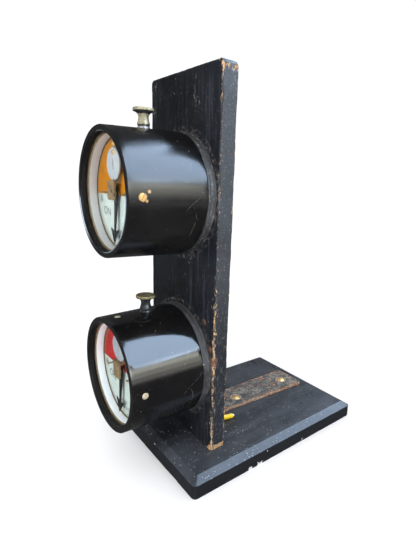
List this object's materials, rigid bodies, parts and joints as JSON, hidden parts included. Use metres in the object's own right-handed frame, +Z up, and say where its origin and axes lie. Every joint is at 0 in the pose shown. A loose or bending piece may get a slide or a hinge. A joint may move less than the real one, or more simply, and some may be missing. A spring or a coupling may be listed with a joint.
{
  "type": "semaphore signal repeater pair on a stand",
  "caption": "Pair of round signal box repeater instruments with hanging pointers, glazed black cases and thumbscrews, on a wooden stand with an iron angle bracket.",
  "frame": {"origin": "middle of the base board's underside", "axes": "+Z up, the dials face -Y, +X is to the right of a viewer who faces the dials"},
  "size_m": [0.194, 0.3181, 0.436],
  "materials": {
    "base_wood": "satin black paint",
    "upright_wood": "worn black paint",
    "rusted_iron": "rusted with paint remains",
    "old_brass": "tarnished",
    "brass": "dull",
    "steel": "dull",
    "soft_iron": "blackened",
    "winding": "silk covered wire",
    "lead_sheath": "matte",
    "core_white": "matte",
    "block_paint": "matte dark paint",
    "case_enamel": "gloss black enamel",
    "pointer_black": "satin",
    "disc_white": "gloss",
    "reflector_white": "satin",
    "gasket": "matte",
    "glass": "clear",
    "dial_amber": "printed, amber upper half",
    "dial_red": "printed, red upper half"
  },
  "bodies": {
    "root": {"base_board": "base_wood", "upright_board": "upright_wood", "angle_bracket": "rusted_iron", "bracket_screws": "old_brass", "foot_screws": "steel", "cable_elbow": "old_brass", "yellow_lead": "lead_sheath", "lead_core": "core_white", "upper_mounting_block": "block_paint", "upper_block_screws": "steel", "upper_backplate": "brass", "upper_pillars": "brass", "upper_terminals": "brass", "upper_screw_lug": "brass", "upper_magnet_yoke": "soft_iron", "upper_coils": "winding", "upper_dial": "dial_amber", "upper_stop_pins": "old_brass", "upper_bridge": "brass", "upper_bridge_screws": "brass", "upper_index_disc": "disc_white", "upper_disc_hanger": "old_brass", "upper_disc_screws": "brass", "lower_mounting_block": "block_paint", "lower_block_screws": "steel", "lower_backplate": "brass", "lower_pillars": "brass", "lower_terminals": "brass", "lower_screw_lug": "brass", "lower_magnet_yoke": "soft_iron", "lower_coils": "winding", "lower_dial": "dial_red", "lower_stop_pins": "old_brass", "lower_bridge": "brass", "lower_bridge_screws": "brass", "lower_index_disc": "disc_white", "lower_disc_hanger": "old_brass", "lower_disc_screws": "brass"},
    "upper_pointer": {"upper_arbor": "brass", "upper_armature": "steel", "upper_needle": "pointer_black"},
    "upper_case": {"upper_cover": "case_enamel", "upper_cover_screws": "brass", "upper_glass": "glass", "upper_glass_gasket": "gasket", "upper_reflector_ring": "reflector_white", "upper_screw_bush": "brass"},
    "upper_thumbscrew": {"upper_thumbscrew": "old_brass"},
    "lower_pointer": {"lower_arbor": "brass", "lower_armature": "steel", "lower_needle": "pointer_black"},
    "lower_case": {"lower_cover": "case_enamel", "lower_cover_screws": "brass", "lower_glass": "glass", "lower_glass_gasket": "gasket", "lower_reflector_ring": "reflector_white", "lower_screw_bush": "brass"},
    "lower_thumbscrew": {"lower_thumbscrew": "old_brass"}
  },
  "joints": [
    {"name": "upper_pointer_swing", "type": "hinge", "parent": "root", "child": "upper_pointer", "pos_m": [-0.005, -0.1415, 0.3086], "axis": [0, 1, 0], "range_deg": [-81, 81]},
    {"name": "upper_case_slide", "type": "slide", "parent": "root", "child": "upper_case", "axis": [0, -1, 0], "range_m": [0, 0.08]},
    {"name": "upper_thumbscrew_turn", "type": "hinge", "parent": "upper_case", "child": "upper_thumbscrew", "pos_m": [-0.005, -0.1365, 0.3756], "axis": [0, 0, 1], "continuous": true},
    {"name": "lower_pointer_swing", "type": "hinge", "parent": "root", "child": "lower_pointer", "pos_m": [-0.005, -0.1415, 0.1151], "axis": [0, 1, 0], "range_deg": [-81, 81]},
    {"name": "lower_case_slide", "type": "slide", "parent": "root", "child": "lower_case", "axis": [0, -1, 0], "range_m": [0, 0.08]},
    {"name": "lower_thumbscrew_turn", "type": "hinge", "parent": "lower_case", "child": "lower_thumbscrew", "pos_m": [-0.005, -0.1365, 0.1821], "axis": [0, 0, 1], "continuous": true}
  ]
}
